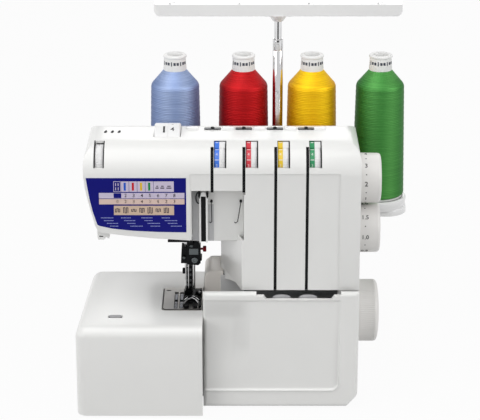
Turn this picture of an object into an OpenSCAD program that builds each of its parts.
// Four-thread overlock sewing machine with its thread stand and extension table.
// X runs to the right, Y to the back and Z up; the machine stands on Z = 0.

/* [Body] */
// Height of the body's flat top
top_z = 297; // [280:1:340]
// Height of the sewing bed
bed_z = 104; // [96:1:112]
// Height of the head's underside
head_z = 193; // [186:1:205]
// Left end of the head
head_x = -173.5; // [-184:0.5:-160]
// Left side of the arm's column at the front
column_x = -4; // [-8:1:4]
// Right side of the body
right_x = 120; // [112:1:150]
// Front face of the housing
front_y = -109; // [-114:1:-104]
// Back face of the body
back_y = 57; // [50:1:60]
// Radius of the long front edge
edge_r = 34; // [31:1:38]
// Wall of the plastic casings
wall = 2.6; // [2:0.1:3.2]

/* [Extension table] */
// Left end of the table
table_x = -185; // [-200:1:-180]
// Right edge of the table, beside the knives
table_right = -48.3; // [-50:0.1:-48]
// Front of the table
table_y = -140; // [-150:1:-132]
// Back edge of the table
table_back = 38; // [34:1:46]
// Radius of the table's corners
table_r = 12; // [8:1:16]

/* [Looper cover] */
// Height of the cover's top edge
cover_z = 137; // [130:1:142]
// Height of the cover's hinge line
hinge_z = 14; // [13:1:18]
// Thickness of the cover's front, panel and border together
cover_t = 6; // [5:0.5:8]

/* [Drive] */
// Height of the main shaft
shaft_z = 72; // [68:1:76]
// Place of the main shaft from front to back
shaft_y = -9; // [-12:1:-6]
// Radius of the main shaft
shaft_r = 6; // [5:0.5:7]
// Radius of the handwheel
handwheel_r = 35; // [30:1:38]
// Radius of the belt pulley on the handwheel
pulley_r = 26; // [22:1:28]
// Radius of the motor's pulley
motor_pulley_r = 8; // [6:1:9]
// Radius of the motor
motor_r = 19; // [16:1:20]

/* [Stitching] */
// Distance of the needles from the body's middle plane
needle_x = -66; // [-67:1:-65]
// Needle line from front to back
needle_y = -59; // [-61:1:-57]
// Radius of the needle bar
needle_bar_r = 3.2; // [3:0.1:4]
// Radius of the presser bar
presser_bar_r = 3.5; // [3:0.1:4]
// Distance from the needle bar back to the presser bar
bar_gap = 23; // [21:1:25]

/* [Dials] */
// Distance between neighbouring tension dials
dial_pitch = 33.6; // [32:0.1:36]
// Width of a tension dial
dial_w = 12.6; // [11:0.1:13.5]
// Radius of a tension dial
dial_r = 20; // [18:0.5:21]
// Radius of the two side dials
side_dial_r = 27.5; // [24:0.5:28.5]
// Width of a side dial
side_dial_w = 25; // [20:1:30]

/* [Thread stand] */
// Distance between neighbouring thread cones
cone_pitch = 78; // [72:1:82]
// Middle of the stand from left to right
stand_x = 35; // [30:1:40]
// Line of the cones from front to back
cone_y = 91; // [90:1:96]
// Radius of a cone seat
seat_r = 33; // [31:0.5:35]
// Radius of a thread winding at its foot
winding_r = 30; // [27:0.5:30.5]
// Height of a thread winding
winding_h = 146; // [120:1:150]
// Radius of the lower telescopic rod
lower_rod_r = 5.4; // [5:0.1:6]
// Radius of the upper telescopic rod
upper_rod_r = 4.4; // [3.5:0.1:4.5]
// Length of the guide bar
guide_w = 279; // [260:1:300]

/* [Hidden] */

$fn = 48;
eps = 0.01;            // overlap of a cut past the face it opens
gap = 0.4;             // space between pieces that move past each other
run = 0.05;            // radial clearance of a shaft in its bore

rear_x = column_x - 25;             // left side of the column at the back
slant_y = front_y + 78;             // where the column's slanted side ends
split_y = 0;                        // seam between the front housing and the rear cover
corner_z = cover_z - 25;             // back of the main base's sloping top, left of the column
recess_x = column_x - 52;           // left side of the threading recess
recess_y = front_y + 20;            // back of the threading recess
arc_y = front_y + edge_r;           // centre line of the long front edge
arc_z = top_z - edge_r;
dial_y = arc_y - (edge_r - dial_r - 1) * 0.7071;
dial_z = arc_z + (edge_r - dial_r - 1) * 0.7071;
recess_z = dial_z - dial_r - wall - 0.8;    // top of the threading recess
ridge_y = -38;                      // where the flat top ends and the roof falls to the back
roof_a = 20;
roof_r = 45;
rear_r = 18;
roof_run = back_y - rear_r * (1 - sin(roof_a)) - ridge_y - roof_r * sin(roof_a);
rear_z = top_z - roof_r * (1 - cos(roof_a)) - roof_run * tan(roof_a) - rear_r * cos(roof_a);
first_slot_x = column_x - 33.5;     // thread slot of the left tension unit
slot_w = 3.2;
presser_y = needle_y + bar_gap;
pan_z = 3;                          // underside of the base pan, on its feet
cover_x = -45.5;                    // left edge of the looper cover
cover_right = right_x;                // right edge of the looper cover
cover_y = front_y - 11;             // front of the looper cover
hinge_y = cover_y + 13;
side_y = front_y + 6;               // front of the side cover, behind the looper cover
dial_x = right_x + 0.7;             // inner end of the side dials
seat_z = 166;                       // underside of the cone seats
core_z = seat_z + 10.3;             // foot of the cones on their seats
guide_z = 389;                      // underside of the guide bar
ivory = [0.93, 0.93, 0.92];

function arc(cx, cy, r, a0, a1, n) = [for (i = [0:n]) let (a = a0 + (a1 - a0) * i / n) [cx + r * cos(a), cy + r * sin(a)]];
function slot_x(i) = first_slot_x + i * dial_pitch;
function cone_x(i) = stand_x + (i - 1.5) * cone_pitch;

// A profile in Y and Z, drawn out along X from x0 to x1.
module along_x(x0, x1) {
    translate([x0, 0, 0]) rotate([90, 0, 90]) linear_extrude(x1 - x0) children();
}

// A profile in X and Z, drawn out along Y from y0 to y1.
module along_y(y0, y1) {
    translate([0, y1, 0]) rotate([90, 0, 0]) linear_extrude(y1 - y0) children();
}

// A round bar along X, Y or Z.
module bar_x(x0, x1, y, z, r) {
    translate([x0, y, z]) rotate([0, 90, 0]) cylinder(h = x1 - x0, r = r);
}
module bar_y(x, y0, y1, z, r) {
    translate([x, y1, z]) rotate([90, 0, 0]) cylinder(h = y1 - y0, r = r);
}
module bar_z(x, y, z0, z1, r) {
    translate([x, y, z0]) cylinder(h = z1 - z0, r = r);
}

// A box between two corners.
module block(low, high) {
    translate(low) cube(high - low);
}

// A plate in X and Y with round corners.
module plate(x0, x1, y0, y1, z0, z1, r) {
    translate([0, 0, z0]) linear_extrude(z1 - z0) union() {
        translate([x0 + r, y0]) square([x1 - x0 - 2 * r, y1 - y0]);
        translate([x0, y0 + r]) square([x1 - x0, y1 - y0 - 2 * r]);
        for (x = [x0 + r, x1 - r], y = [y0 + r, y1 - r]) translate([x, y]) circle(r);
    }
}

// The whole upper body, shrunk by one wall for its hollow.
module upper_form(inset) {
    r = edge_r - inset;
    end_r = 20 - inset;
    difference() {
        intersection() {
            along_x(head_x - 5, right_x - inset) polygon(concat(
                [[front_y + inset, 0], [back_y - inset, 0]],
                arc(back_y - rear_r, rear_z, rear_r - inset, 0, 90 - roof_a, 6),
                arc(ridge_y, top_z - roof_r, roof_r - inset, 90 - roof_a, 90, 4),
                arc(arc_y, arc_z, r, 90, 180, 10)));
            union() {
                along_y(front_y - 5, back_y + 5) polygon(concat(
                    [[right_x + 5, top_z + 5], [head_x + end_r + inset + 1, top_z + 5]],
                    arc(head_x + inset + end_r, top_z - inset - end_r, end_r, 90, 180, 6),
                    [[head_x + inset + 0.5, top_z - 32], [head_x + inset + 4, top_z - 56],
                     [head_x + inset + 11, head_z + 16], [head_x + inset + 13, head_z + 11 + inset],
                     [head_x + inset + 45, head_z + 6 + inset], [head_x + 90, head_z + 2 + inset],
                     [recess_x, head_z + inset], [right_x + 5, head_z + inset]]));
                translate([0, 0, cover_z - 1]) linear_extrude(head_z - cover_z + 40) polygon([
                    [column_x + inset, front_y], [right_x + 5, front_y], [right_x + 5, back_y + 5],
                    [rear_x + inset, back_y + 5], [rear_x + inset, slant_y]]);
            }
        }
        block([recess_x - inset, front_y - 5, 0], [column_x + inset, recess_y + inset, recess_z + inset]);
    }
}

// Space for a wheel of the tension row, seen through its window.
module window(x0, x1, r) {
    block([x0 - gap, dial_y - r - 8, dial_z + 1.4], [x1 + gap, dial_y + 3.7, dial_z + r + 8]);
}

pan_top = pan_z + 3;
housing_z = cover_z - 1;            // lower edge of the front housing
arm_top = bed_z - 3.4;              // top of the free arm's cover, under the table's top
plate_x0 = needle_x - 27;           // needle plate
plate_x1 = needle_x + 16.5;
plate_y0 = needle_y - 28;
plate_y1 = needle_y + 37;
arm_x = -160;                       // left end of the free arm
arm_y0 = plate_y0 - 5;
arm_y1 = 20;
pan_x = cover_x + 1.5;              // left side of the machine's main base
pan_y = hinge_y + 15;               // front of the base, clear of the turning cover
frame_x0 = pan_x + wall + 0.5;      // left wall of the cast frame
frame_x1 = right_x - 20;            // right face of the frame's right wall
frame_y = -44;                      // back wall of the looper bay
beam_z0 = head_z + 14;              // the frame's upper arm
beam_z1 = beam_z0 + 25;
motor_y = shaft_y + 37;
motor_z = shaft_z - 36;
belt_x0 = frame_x1 + 4;
belt_x1 = belt_x0 + 8;
lower_pivot = [-20, 46];            // X and Z of the lower looper's shaft
upper_pivot = [6, 58];              // X and Z of the upper looper's shaft
looper_shaft_r = 4;
stud_r = 4;                         // studs that the dials turn on
side_dial_y = shaft_y - 20;
stitch_z = 237;
differential_z = stitch_z - 2 * side_dial_r - 3;
stub_r = 5;
rod_hinge_r = 2.5;                  // rod that the looper cover turns and slides on
post_x = -36;                       // post that the upper knife runs on
post_y = -98.5;
post_r = 3;
lifter_x = -50;                     // pin of the presser foot lifter
lifter_z = beam_z1 + 10;
lifter_r = 3.5;
inlet = [[right_x - 12, 37.5, 9], [right_x + 1, 52.5, 28]];
switch_y = 46;
switch_z = 58;
switch_axle_r = 0.9;
lamp_x = -107;
lamp_y = front_y + 23;
lamp_z = head_z + 3;
tray_y0 = 62;                       // the thread stand's tray
tray_y1 = 140;
tray_z = seat_z - 7.5;
socket_z = 94;                      // lower end of the stand's socket
joint_z = 363;                      // where the two telescopic rods meet
screw_places = [[-150, 225], [60, 235], [-25, 20], [80, 20]];
screw_r = 1.6;
program_x0 = -100;                  // program dial in the top of the head
program_x1 = -71.5;
program_r = 28;
program_y = -49;
program_z = top_z + 7.5 - program_r;
pressure_x0 = -162;                 // presser foot pressure dial
pressure_x1 = -151.5;
feed_z = 84;                        // top of the frame's free arm, where the feed bars slide
collar_z = beam_z1 + 8;             // collar on the presser bar, below its spring
spring_top = top_z - 15;            // stop above the presser spring
core_h = 170;
core_r0 = 16;                       // cone core's radius at its foot and its top
core_r1 = 12;
pin_r = 8;

// Floor of the head's left part, where the thread cutter hangs.
function head_floor(x) = head_z + 11 - (x - head_x - 13) * 5 / 32;
function core_r(h) = core_r0 + (core_r1 - core_r0) * h / core_h;

// A straight arm with round ends between two points of the plane it is drawn in.
module link_2d(p, q, w) {
    d = q - p;
    translate(p) circle(w / 2);
    translate(q) circle(w / 2);
    translate(p) rotate(atan2(d[1], d[0])) translate([0, -w / 2]) square([norm(d), w]);
}

// A thin-walled box, open on the sides that its hollow is carried through.
module shell_box(low, high, open_low, open_high) {
    difference() {
        block(low, high);
        block(low + [for (o = open_low) o ? -1 : wall], high - [for (o = open_high) o ? -1 : wall]);
    }
}

module base_pan() {
    color("gainsboro") difference() {
        union() {
            block([pan_x, pan_y, pan_z], [right_x, back_y, pan_top]);
            block([arm_x, arm_y0, pan_z], [pan_x + 1, arm_y1, pan_top]);
            for (x = [-33, 90]) {
                block([x, hinge_y - 4.5, hinge_z - 4.5], [x + 4, pan_y + 2, hinge_z + 4.5]);
                block([x, pan_y, pan_top - 1], [x + 4, pan_y + 6, hinge_z + 4.5]);
            }
        }
        bar_x(-40, 110, hinge_y, hinge_z, rod_hinge_r + run);
    }
}

module rubber_feet() {
    color("dimgray") for (p = [[-30, pan_y + 14], [right_x - 16, pan_y + 14], [-30, back_y - 16],
                               [right_x - 16, back_y - 16], [arm_x + 18, -36]])
        bar_z(p[0], p[1], 0, pan_z, 10);
}

module machine_frame() {
    color("silver") difference() {
        union() {
            block([frame_x0, frame_y, pan_top], [frame_x1, 6, pan_top + 8]);
            block([frame_x0, frame_y, pan_top], [frame_x0 + 6, 44, cover_z - 38]);
            block([frame_x1 - 6, frame_y, pan_top], [frame_x1, 50, beam_z1]);
            block([frame_x0, frame_y, pan_top], [frame_x1, frame_y + 4, cover_z - 8]);
            block([-152, -20, beam_z0], [frame_x1, 10, beam_z1]);
            block([needle_x - 16, needle_y - 10, beam_z0], [needle_x + 16, -18, beam_z1 - 2]);
            block([plate_x0 + 8, -16, 60], [frame_x0 + 1, split_y - 0.5, feed_z]);
            block([arm_x + 20, -16, 46], [plate_x0 + 9, split_y - 0.5, feed_z]);
            block([lifter_x - 8, -18, beam_z1 - 1], [lifter_x + 8, 8, lifter_z + 8]);
            block([-37, frame_y + 1, 44], [-31, post_y - 8, 56]);
            block([-41, post_y - 8, 44], [-31, post_y + 8, 56]);
            bar_z(post_x, post_y, 50, 92, post_r);
        }
        for (x = [frame_x0, frame_x1 - 6]) bar_x(x - 1, x + 7, shaft_y, shaft_z, shaft_r + 5 + run / 2);
        bar_x(frame_x1 - 7, frame_x1 + 1, motor_y, motor_z, 10);
        bar_z(needle_x, needle_y, beam_z0 - 1, beam_z1 + 1, needle_bar_r + run);
        bar_z(needle_x, presser_y, beam_z0 - 1, beam_z1 + 1, presser_bar_r + run);
        bar_y(lifter_x, -19, 9, lifter_z, lifter_r + run);
        bar_y(lower_pivot[0], frame_y - 1, frame_y + 5, lower_pivot[1], looper_shaft_r + run);
        bar_y(upper_pivot[0], frame_y - 1, frame_y + 5, upper_pivot[1], looper_shaft_r + run);
    }
}

module free_arm_cover() {
    color(ivory) difference() {
        plate(arm_x, pan_x + 20, arm_y0, arm_y1, pan_top, arm_top, 8);
        plate(arm_x + wall, pan_x + 30, arm_y0 + wall, arm_y1 - wall, pan_top - 1, arm_top - wall, 6);
        block([pan_x - 0.5, -150, 0], [pan_x + 40, 100, 120]);
        block([plate_x0 + 3, plate_y0 + 3, 80], [pan_x, plate_y1 - 3, 120]);
    }
}

module extension_table() {
    color(ivory) difference() {
        plate(table_x, table_right + 20, table_y, table_back, 2, bed_z, table_r);
        plate(table_x + wall, table_right + 30, table_y + wall, table_back - wall, 1, bed_z - 3, table_r - wall);
        block([table_right, table_y - 1, 0], [table_right + 40, table_back + 1, 120]);
        block([plate_x0 - gap, plate_y0 - gap, 90], [table_right + 1, plate_y1 + gap, 120]);
        plate(-150 - gap, -136 + gap, -108 - gap, -102 + gap, 90, 120, 3);
    }
}

module table_release_button() {
    color("lightgray") {
        plate(-150, -136, -108, -102, bed_z - 3.5, bed_z + 0.6, 2.8);
        plate(-153, -133, -111, -99, bed_z - 6, bed_z - 3.3, 4);
    }
}

module looper_cover() {
    color(ivory) difference() {
        union() {
            block([cover_x, cover_y, pan_z], [cover_right, cover_y + cover_t, cover_z]);
            block([cover_right - wall, cover_y, hinge_z + 8], [cover_right, side_y - gap, cover_z - 3]);
            for (x = [-22, 66]) {
                bar_x(x, x + 10, hinge_y, hinge_z, 5);
                block([x, cover_y + 1, hinge_z - 4], [x + 10, hinge_y, hinge_z + 4]);
            }
        }
        bar_x(-40, 110, hinge_y, hinge_z, rod_hinge_r + run);
        // rounded lower front edge
        difference() {
            block([cover_x - 1, cover_y - 1, pan_z - 1], [cover_right + 1, cover_y + 5, pan_z + 5]);
            bar_x(cover_x - 2, cover_right + 2, cover_y + 5, pan_z + 5, 5);
        }
        // sunk front panel
        block([cover_x + 3, cover_y - 1, 25], [98.5, cover_y + 1.2, cover_z - 9]);
        // finger opening in the top edge
        block([11, cover_y - 1, cover_z - 4], [99, cover_y + cover_t + 1, cover_z + 1]);
        block([18, cover_y - 1, cover_z - 8], [92, cover_y + cover_t + 1, cover_z + 1]);
    }
}

module cover_hinge_rod() {
    color("silver") bar_x(cover_x + 1, 96, hinge_y, hinge_z, rod_hinge_r);
}

module front_housing() {
    color(ivory) difference() {
        upper_form(0);
        upper_form(wall);
        block([-300, split_y, 0], [300, 300, 400]);
        block([rear_x - 5, front_y - 5, 0], [right_x + 5, 300, housing_z]);
        block([column_x + wall, front_y + wall, housing_z - 5], [right_x - wall, split_y + 1, housing_z + 5]);
        for (i = [0:3]) {
            low = i < 2 ? recess_z - 5 : housing_z - 2;
            block([slot_x(i) - slot_w / 2, front_y - 5, low], [slot_x(i) + slot_w / 2, front_y + 26, top_z - 4.6]);
            window(slot_x(i) + 2.2, slot_x(i) + 2.2 + dial_w, dial_r);
        }
        window(pressure_x0, pressure_x1, dial_r);
        block([program_x0 - gap, program_y - 22.3, program_z + 14],
              [program_x1 + gap, program_y + 23.5, top_z + 10]);
        block([needle_x - 26, recess_y + 3, head_z - 5], [needle_x + 20, split_y - 20, head_z + 9]);
        bar_z(lamp_x, lamp_y, head_z - 5, head_z + 12, 9);
        for (z = [stitch_z, differential_z]) bar_x(right_x - wall - 1, right_x + 1, side_dial_y, z, stub_r + run);
    }
}

module rear_cover() {
    color(ivory) difference() {
        union() {
            difference() {
                upper_form(0);
                block([-300, -300, 0], [300, split_y + 0.2, 400]);
                block([right_x - 23, -300, 0], [300, 300, housing_z]);
            }
            block([rear_x, split_y + 0.2, pan_top], [right_x - 23, back_y, cover_z + 2]);
            hull() {
                block([pan_x, split_y + 0.2, pan_top], [rear_x + 1, back_y, corner_z]);
                block([pan_x, split_y + 0.2, pan_top], [rear_x + 1, split_y + 2, cover_z + 2]);
            }
        }
        difference() {
            upper_form(wall);
            block([-300, -300, 0], [rear_x + wall, 300, cover_z + 2]);
        }
        block([rear_x + wall, split_y - 1, pan_top - 1], [right_x - 22, back_y - wall, cover_z + 2 - wall]);
        hull() {
            block([pan_x + wall, split_y - 1, pan_top - 1], [rear_x + wall + 1, back_y - wall, corner_z - wall]);
            block([pan_x + wall, split_y - 1, pan_top - 1], [rear_x + wall + 1, split_y + 2, cover_z + 2 - wall]);
        }
        block([rear_x + wall, split_y - 1, cover_z - 8], [right_x - wall, back_y - wall, cover_z + 12]);
        block([lifter_x - 38, 17, head_z - 5], [lifter_x + 12, 29, head_z + 9]);
        for (p = screw_places) bar_y(p[0], back_y - wall - 1, back_y + 1, p[1], screw_r + run);
    }
}

module side_cover() {
    color(ivory) difference() {
        shell_box([right_x - 22.7, side_y, pan_top], [right_x, back_y, housing_z - 0.4],
                  [true, false, true], [false, false, true]);
        bar_x(right_x - 5, right_x + 1, shaft_y, shaft_z, 14);
        // room for the cover's foot as it turns down
        block([right_x - 23, side_y - 1, 0], [right_x + 1, pan_y, hinge_z + 3]);
        block([right_x - 6, inlet[0][1] - 0.3, inlet[0][2] - 0.3], [right_x + 1, inlet[1][1] + 0.3, inlet[1][2] + 0.3]);
        block([right_x - 6, switch_y - 6.5, switch_z - 9.5], [right_x + 1, switch_y + 6.5, switch_z + 9.5]);
        bar_y(right_x - wall / 2, switch_y - 7.6, switch_y + 7.6, switch_z, switch_axle_r + 0.05);
    }
}

module chart_panel() {
    color("navy") along_y(front_y - 0.4, front_y) polygon(concat(
        [[needle_x + 2, arc_z], [head_x + 2, arc_z]],
        [[head_x + 5.3, top_z - 56], [head_x + 9, top_z - 72], [head_x + 13.5, head_z + 17]],
        [[head_x + 30, head_z + 13], [head_x + 63, head_z + 10], [needle_x + 2, head_z + 9]]));
}

module housing_screws() {
    color("silver") for (p = screw_places) {
        bar_y(p[0], back_y, back_y + 1.6, p[1], 3.2);
        bar_y(p[0], back_y - 8, back_y + 1, p[1], screw_r);
    }
}

module needle_plate() {
    color("silver") difference() {
        plate(plate_x0, plate_x1, plate_y0, plate_y1, arm_top, bed_z + 0.2, 4);
        plate(needle_x - 3.5, needle_x + 3.5, needle_y - 2, needle_y + 2, arm_top - 1, bed_z + 1, 1.9);
        for (x = [-14.6, -8.6]) block([needle_x + x, needle_y - 24, arm_top - 1], [needle_x + x + 4.2, needle_y + 25, bed_z + 1]);
        bar_z(plate_x0 + 8, plate_y1 - 7, arm_top - 1, bed_z + 1, 2.5);
    }
}

module presser_foot() {
    color("darkslategray") difference() {
        union() {
            plate(needle_x - 10, needle_x + 14, needle_y - 25, needle_y + 27, bed_z + 0.5, bed_z + 4, 3);
            block([needle_x - 7, presser_y - 9, bed_z + 3], [needle_x - 4, presser_y + 7, bed_z + 9]);
            block([needle_x + 4, presser_y - 9, bed_z + 3], [needle_x + 7, presser_y + 7, bed_z + 9]);
            bar_x(needle_x - 7, needle_x + 7, presser_y, bed_z + 6.5, 1.5);
            block([needle_x + 10, needle_y - 22, bed_z + 3], [needle_x + 12, needle_y + 4, bed_z + 8]);
        }
        plate(needle_x - 4, needle_x + 4, needle_y - 6, needle_y + 6, bed_z, bed_z + 6, 2);
        block([needle_x - 1, needle_y - 30, bed_z], [needle_x + 1, needle_y - 14, bed_z + 6]);
    }
}

module foot_holder() {
    color("dimgray") difference() {
        union() {
            plate(needle_x - 7, needle_x + 7, presser_y - 7, presser_y + 7, bed_z + 9, bed_z + 30, 2);
            block([needle_x - 11, presser_y - 2, bed_z + 20], [needle_x - 6, presser_y + 2, bed_z + 28]);
        }
        bar_z(needle_x, presser_y, bed_z + 16, bed_z + 31, presser_bar_r);
    }
}

module presser_bar() {
    color("silver") {
        bar_z(needle_x, presser_y, bed_z + 16, spring_top + 3, presser_bar_r);
        bar_z(needle_x, presser_y, collar_z, collar_z + 6, presser_bar_r + 1.5);
    }
}

module presser_spring() {
    color("lightslategray") difference() {
        bar_z(needle_x, presser_y, collar_z + 6.3, spring_top - 0.3, presser_bar_r + 1.4);
        bar_z(needle_x, presser_y, collar_z + 6, spring_top, presser_bar_r + 0.4);
    }
}

module presser_lifter() {
    color("dimgray") {
        bar_y(lifter_x, -22, 21, lifter_z, lifter_r);
        bar_y(lifter_x, -24, -21, lifter_z, 7);
        bar_y(lifter_x, 20, 26, lifter_z, 6.5);
        translate([lifter_x, 20, lifter_z]) rotate([0, 31, 0]) block([-4, 0, -66], [4, 6, 2]);
    }
}

module needle_bar() {
    color("silver") bar_z(needle_x, needle_y, bed_z + 56, top_z - 13, needle_bar_r);
}

module needle_clamp() {
    color("black") difference() {
        union() {
            plate(needle_x - 9, needle_x + 8, needle_y - 7, needle_y + 7, bed_z + 45, bed_z + 67, 2);
            block([needle_x - 15, needle_y - 5, bed_z + 43], [needle_x - 8, needle_y - 3, bed_z + 60]);
            block([needle_x - 5, needle_y - 9, bed_z + 49], [needle_x + 4, needle_y - 6, bed_z + 56]);
        }
        bar_z(needle_x, needle_y, bed_z + 56, bed_z + 68, needle_bar_r);
        for (x = [-1.4, 1.4]) bar_z(needle_x + x, needle_y, bed_z + 44, bed_z + 55, 1);
    }
}

module needle_clamp_screw() {
    color("darkred") {
        bar_x(needle_x + 8, needle_x + 19, needle_y, bed_z + 61, 1.5);
        bar_x(needle_x + 19, needle_x + 26, needle_y, bed_z + 61, 4);
    }
}

module needles() {
    color("silver") for (x = [-1.4, 1.4]) {
        bar_z(needle_x + x, needle_y, bed_z + 40, bed_z + 55, 1);
        bar_z(needle_x + x, needle_y, bed_z + 18, bed_z + 40, 0.6);
        translate([needle_x + x, needle_y, bed_z + 14]) cylinder(h = 4, r1 = 0.1, r2 = 0.6);
    }
}

// A looper: its shaft along Y and an arm that ends in a hooked blade.
module looper(pivot, elbow, tip, y) {
    along_y(y, y + 6) link_2d(pivot, elbow, 9);
    along_y(y + 1, y + 5) link_2d(elbow, tip, 4.5);
    bar_y(pivot[0], y - 2, frame_y + 14, pivot[1], looper_shaft_r);
    bar_y(pivot[0], y - 1, y + 8, pivot[1], 8);
}

module upper_looper() {
    color("silver") looper(upper_pivot, [-16, 84], [-32, 112], -86);
}

module lower_looper() {
    color("silver") looper(lower_pivot, [-32, 76], [-43, 94], -76);
}

module upper_knife() {
    color("silver") difference() {
        union() {
            block([cover_x + 0.3, post_y - 7, 66], [post_x + 6, post_y + 5.2, 86]);
            block([cover_x + 0.3, post_y - 7, 80], [cover_x + 1.8, post_y + 4, bed_z + 10]);
        }
        bar_z(post_x, post_y, 60, 95, post_r + run);
    }
}

module lower_knife() {
    color("silver") {
        block([table_right + 0.7, post_y - 7, 46], [cover_x - 0.4, post_y + 3.5, bed_z - 0.4]);
        block([table_right + 0.7, post_y - 6, 46], [post_x - 5, post_y + 2, 54]);
    }
}

// A feed dog: two toothed rows, the block below them and the bar that slides on the frame.
module feed_dog(y0, y1, bar_x0, bar_x1) {
    for (x = [-14, -8]) {
        block([needle_x + x, y0, 94], [needle_x + x + 3, y1, bed_z - 1.4]);
        for (y = [y0 : 3 : y1 - 2.5]) block([needle_x + x, y, bed_z - 2], [needle_x + x + 3, y + 1.5, bed_z - 0.4]);
    }
    block([needle_x - 16, y0, 90], [needle_x - 4, y1, 95]);
    block([bar_x0, y0, feed_z + 0.3], [bar_x1, y1, 91]);
    block([bar_x0, y0, feed_z + 0.3], [bar_x1, -3, feed_z + 4]);
}

module main_feed_dog() {
    color("gray") feed_dog(needle_y + 3, needle_y + 22, needle_x - 16, needle_x - 10.3);
}

module differential_feed_dog() {
    color("gray") feed_dog(needle_y - 21, needle_y - 1, needle_x - 9.7, needle_x - 4);
}

module main_shaft() {
    color("silver") {
        bar_x(frame_x0 + 0.2, right_x + 26, shaft_y, shaft_z, shaft_r);
        for (x = [-12, 14, 38, 62]) translate([0, 0, 2]) bar_x(x, x + 8, shaft_y, shaft_z, shaft_r + 7);
    }
}

module shaft_bearings() {
    color("darkgoldenrod") for (x = [frame_x0, frame_x1 - 6]) difference() {
        bar_x(x, x + 6, shaft_y, shaft_z, shaft_r + 5);
        bar_x(x - 1, x + 7, shaft_y, shaft_z, shaft_r + run);
    }
}

module handwheel() {
    color(ivory) difference() {
        union() {
            bar_x(right_x + 2, right_x + 26, shaft_y, shaft_z, handwheel_r);
            bar_x(right_x + 25, right_x + 28, shaft_y, shaft_z, handwheel_r - 5);
            bar_x(frame_x1 + 1, right_x + 3, shaft_y, shaft_z, shaft_r + 5);
            bar_x(belt_x0 - 1, belt_x1 + 1, shaft_y, shaft_z, pulley_r);
        }
        bar_x(frame_x1, right_x + 26, shaft_y, shaft_z, shaft_r);
        difference() {
            bar_x(right_x, right_x + 20, shaft_y, shaft_z, handwheel_r - 4);
            bar_x(right_x - 1, right_x + 21, shaft_y, shaft_z, shaft_r + 5);
        }
    }
}

// Outline of a band stretched round two pulleys.
function band(p, r0, q, r1) =
    let (d = q - p, lean = atan2(d[1], d[0]), open = acos((r0 - r1) / norm(d)))
    concat(arc(p[0], p[1], r0, lean + open, lean + 360 - open, 40), arc(q[0], q[1], r1, lean - open, lean + open, 16));

module drive_belt() {
    wheel = [shaft_y, shaft_z];
    small = [motor_y, motor_z];
    color("black") along_x(belt_x0, belt_x1) difference() {
        polygon(band(wheel, pulley_r + gap + 2, small, motor_pulley_r + gap + 2));
        polygon(band(wheel, pulley_r + gap, small, motor_pulley_r + gap));
    }
}

module motor() {
    color("dimgray") difference() {
        union() {
            bar_x(frame_x1 - 62, frame_x1 - 6, motor_y, motor_z, motor_r);
            bar_x(frame_x1 - 70, frame_x1 - 61, motor_y, motor_z, 8);
        }
        bar_x(frame_x1 - 20, frame_x1, motor_y, motor_z, 3 + run);
    }
}

module motor_pulley() {
    color("silver") {
        bar_x(frame_x1 - 19, belt_x1 + 1, motor_y, motor_z, 3);
        bar_x(belt_x0 - 1, belt_x1 + 1, motor_y, motor_z, motor_pulley_r);
    }
}

module lamp() {
    color("white") {
        bar_z(lamp_x, lamp_y, lamp_z - 1, lamp_z + 14, 8.6);
        bar_z(lamp_x, lamp_y, lamp_z + 7, lamp_z + 9, 12);
    }
}

// A ribbed thumbwheel on a stud along X.
module thumbwheel(x0, x1, y, z, r) {
    difference() {
        bar_x(x0, x1, y, z, r);
        bar_x(x0 - 1, x1 + 1, y, z, stud_r + run);
    }
}

module tension_dial(i) {
    thumbwheel(slot_x(i) + 2.2, slot_x(i) + 2.2 + dial_w, dial_y, dial_z, dial_r);
}

module tension_dial_1() { color("royalblue") tension_dial(0); }
module tension_dial_2() { color("crimson") tension_dial(1); }
module tension_dial_3() { color("gold") tension_dial(2); }
module tension_dial_4() { color("seagreen") tension_dial(3); }

module tension_discs() {
    color("silver") for (i = [0:3]) {
        bar_x(slot_x(i) - 8, slot_x(i) + dial_w + 6, dial_y, dial_z, stud_r);
        for (x = [-1.3, 0.3]) bar_x(slot_x(i) + x, slot_x(i) + x + 1, dial_y, dial_z, 13);
        bar_x(slot_x(i) - 6.5, slot_x(i) - 1.6, dial_y, dial_z, 7);
    }
}

module dial_bracket() {
    color("lightslategray") difference() {
        union() {
            block([slot_x(0) + dial_w + 4, -56, beam_z1], [slot_x(3) + dial_w + 7, -54, top_z - 8]);
            block([slot_x(0) + dial_w + 4, -56, beam_z1], [slot_x(3) + dial_w + 7, -8, beam_z1 + 2]);
            for (i = [0:3])
                block([slot_x(i) + dial_w + 4, dial_y - 7, dial_z - 7], [slot_x(i) + dial_w + 6, -54, dial_z + 7]);
            block([pressure_x1 + 2, dial_y - 7, beam_z1], [pressure_x1 + 5, -6, dial_z + 7]);
            bar_x(pressure_x0 - 1, pressure_x1 + 3, dial_y, dial_z, stud_r);
            block([program_x0 - 5, program_y - 7, beam_z1], [program_x0 - 2, -6, program_z + 7]);
            bar_x(program_x0 - 3, program_x1 - 1, program_y, program_z, stud_r);
            block([needle_x + 8, presser_y - 5, beam_z1], [needle_x + 12, presser_y + 5, spring_top + 4]);
            block([needle_x - 5, presser_y - 5, spring_top], [needle_x + 12, presser_y + 5, spring_top + 4]);
        }
        bar_z(needle_x, presser_y, spring_top - 1, spring_top + 5, presser_bar_r + run);
        for (i = [0:3])
            bar_x(slot_x(i) + dial_w + 3, slot_x(i) + dial_w + 8, dial_y, dial_z, stud_r);
    }
}

module pressure_dial() {
    color("white") thumbwheel(pressure_x0, pressure_x1, dial_y, dial_z, dial_r);
}

module program_dial() {
    color("white") thumbwheel(program_x0, program_x1, program_y, program_z, program_r);
}

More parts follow.
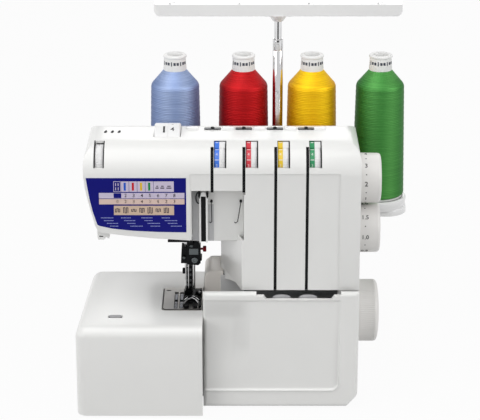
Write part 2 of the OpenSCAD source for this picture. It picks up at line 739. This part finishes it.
// A dial on the body's right side, with the stub that it turns on.
module side_dial(z) {
    color("gainsboro") {
        bar_x(dial_x, dial_x + side_dial_w - 2, side_dial_y, z, side_dial_r);
        bar_x(dial_x + side_dial_w - 2, dial_x + side_dial_w, side_dial_y, z, side_dial_r - 3);
        bar_x(right_x - 8, dial_x + 1, side_dial_y, z, stub_r);
    }
}

module stitch_length_dial() { side_dial(stitch_z); }
module differential_dial() { side_dial(differential_z); }

module power_switch() {
    color("dimgray") {
        block([right_x - 4, switch_y - 6, switch_z - 8.5], [right_x + 2, switch_y + 6, switch_z + 8.5]);
        bar_y(right_x - wall / 2, switch_y - 7.5, switch_y + 7.5, switch_z, switch_axle_r);
    }
}

module power_inlet() {
    color("black") {
        difference() {
            block(inlet[0], inlet[1]);
            block(inlet[0] + [4, 2, 2], inlet[1] + [1, -2, -2]);
        }
        for (y = [-4, 0, 4]) block([inlet[0][0] + 3, 44.3 + y, 16], [inlet[0][0] + 10, 45.7 + y, 21]);
    }
}

module top_thread_guides() {
    color("dimgray") for (i = [0:3]) difference() {
        block([slot_x(i) - 9, ridge_y - 8, top_z], [slot_x(i) + 9, ridge_y - 2, top_z + 2.2]);
        bar_z(slot_x(i), ridge_y - 5, top_z - 1, top_z + 3, 1.2);
    }
}

module lever_cover() {
    x0 = recess_x + 4.5;
    color("white") difference() {
        union() {
            block([x0, recess_y - 8, head_z + 1], [x0 + 9, recess_y, recess_z - 9]);
            for (x = [x0 - 1, x0 + 7.5]) block([x, recess_y - 9, recess_z - 14], [x + 2.5, recess_y, recess_z - 5]);
        }
        block([x0 + 2, recess_y - 9, head_z], [x0 + 7, recess_y - 2, recess_z - 12]);
    }
}

module thread_cutter() {
    x0 = head_x + 13.5;
    color(ivory) along_y(front_y + 3, front_y + 14) polygon([
        [x0, head_floor(x0) - 0.1], [x0, head_z], [x0 + 9, head_z + 1], [x0 + 9, head_z + 4],
        [x0 + 13, head_z + 2], [x0 + 13, head_floor(x0 + 13) - 0.1]]);
}

module stand_base() {
    color("whitesmoke") difference() {
        union() {
            plate(cone_x(0) - 30, cone_x(3) + 30, tray_y0, tray_y1, tray_z, seat_z, 24);
            block([stand_x - 30, back_y, seat_z - 26], [stand_x + 30, tray_y0 + 10, seat_z - 2]);
            bar_z(stand_x, cone_y, socket_z, seat_z + 6, lower_rod_r + 4);
            for (i = [0:3]) {
                bar_z(cone_x(i), cone_y, seat_z - 1, core_z, seat_r);
                bar_z(cone_x(i), cone_y, core_z - 1, core_z + 60, pin_r);
            }
        }
        bar_z(stand_x, cone_y, socket_z + 3, seat_z + 7, lower_rod_r + run);
    }
}

module lower_rod() {
    color("silver") difference() {
        union() {
            bar_z(stand_x, cone_y, socket_z + 30, joint_z, lower_rod_r);
            bar_z(stand_x, cone_y, joint_z - 3, joint_z, lower_rod_r + 0.6);
        }
        bar_z(stand_x, cone_y, joint_z - 100, joint_z + 1, upper_rod_r + run);
    }
}

module upper_rod() {
    color("silver") bar_z(stand_x, cone_y, joint_z - 72, guide_z + 12, upper_rod_r);
}

module guide_bar() {
    color("white") difference() {
        union() {
            plate(stand_x - guide_w / 2, stand_x + guide_w / 2, cone_y - 7, cone_y + 7, guide_z, guide_z + 16, 6.9);
            translate([stand_x, cone_y, guide_z - 9]) cylinder(h = 9.5, r1 = 8, r2 = 12);
            block([stand_x - 20, cone_y - 6, guide_z - 2], [stand_x + 20, cone_y + 6, guide_z + 1]);
        }
        bar_z(stand_x, cone_y, guide_z - 10, guide_z + 12, upper_rod_r);
        for (i = [0:3]) {
            block([cone_x(i) - 6, cone_y - 8, guide_z - 1], [cone_x(i) - 4.8, cone_y, guide_z + 17]);
            bar_z(cone_x(i), cone_y, guide_z - 1, guide_z + 17, 2);
        }
    }
}

module cone_cores() {
    color("white") for (i = [0:3]) translate([cone_x(i), cone_y, core_z]) rotate_extrude() polygon([
        [pin_r + 0.3, 0], [winding_r - 2, 0], [winding_r - 2, 2], [core_r(2), 2],
        [core_r1, core_h], [pin_r + 0.3, core_h]]);
}

// One thread winding: nearly straight sides and a rounded shoulder, wound on its core.
module winding(i) {
    shoulder = 22;
    top_r = core_r(winding_h) + 1.5;
    body_r = winding_r - 2.5;
    translate([cone_x(i), cone_y, core_z]) rotate_extrude() polygon(concat(
        [[core_r(2.3) + run, 2.3], [winding_r, 2.3]],
        [for (a = [0:15:90]) [top_r + (body_r - top_r) * cos(a), winding_h - shoulder + shoulder * sin(a)]],
        [[core_r(winding_h) + run, winding_h]]));
}

module winding_blue() { color("slateblue") winding(0); }
module winding_red() { color("crimson") winding(1); }
module winding_yellow() { color("gold") winding(2); }
module winding_green() { color("limegreen") winding(3); }

base_pan();
rubber_feet();
machine_frame();
free_arm_cover();
extension_table();
table_release_button();
looper_cover();
cover_hinge_rod();
front_housing();
rear_cover();
side_cover();
chart_panel();
housing_screws();
needle_plate();
presser_foot();
foot_holder();
presser_bar();
presser_spring();
presser_lifter();
needle_bar();
needle_clamp();
needle_clamp_screw();
needles();
upper_looper();
lower_looper();
upper_knife();
lower_knife();
main_feed_dog();
differential_feed_dog();
main_shaft();
shaft_bearings();
handwheel();
drive_belt();
motor();
motor_pulley();
lamp();
tension_dial_1();
tension_dial_2();
tension_dial_3();
tension_dial_4();
tension_discs();
dial_bracket();
pressure_dial();
program_dial();
stitch_length_dial();
differential_dial();
power_switch();
power_inlet();
top_thread_guides();
lever_cover();
thread_cutter();
stand_base();
lower_rod();
upper_rod();
guide_bar();
cone_cores();
winding_blue();
winding_red();
winding_yellow();
winding_green();
